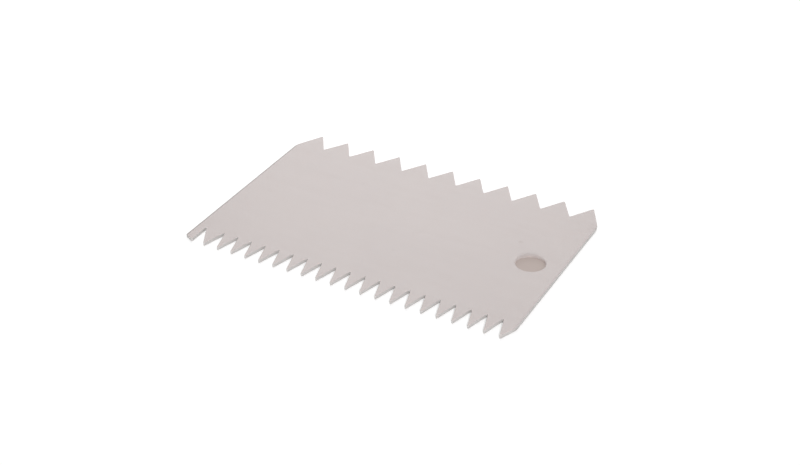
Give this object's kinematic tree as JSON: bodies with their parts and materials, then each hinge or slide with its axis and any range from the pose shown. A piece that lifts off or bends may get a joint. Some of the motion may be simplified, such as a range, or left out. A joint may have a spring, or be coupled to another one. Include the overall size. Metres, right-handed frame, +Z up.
{
  "type": "icing comb",
  "caption": "Flat plastic icing smoother and comb with coarse teeth along one long edge, fine teeth along the other and a hanging hole at one end.",
  "frame": {"origin": "middle of the plate's underside, halfway between the short edges and halfway between the tips of the two combs", "axes": "+X along the plate towards the hanging hole, +Y towards the coarse comb, +Z up through the plate"},
  "size_m": [0.11, 0.075, 0.0012],
  "materials": {
    "plate_plastic": "fine satin, milky off-white polypropylene"
  },
  "bodies": {
    "root": {"comb_plate": "plate_plastic"}
  },
  "joints": []
}
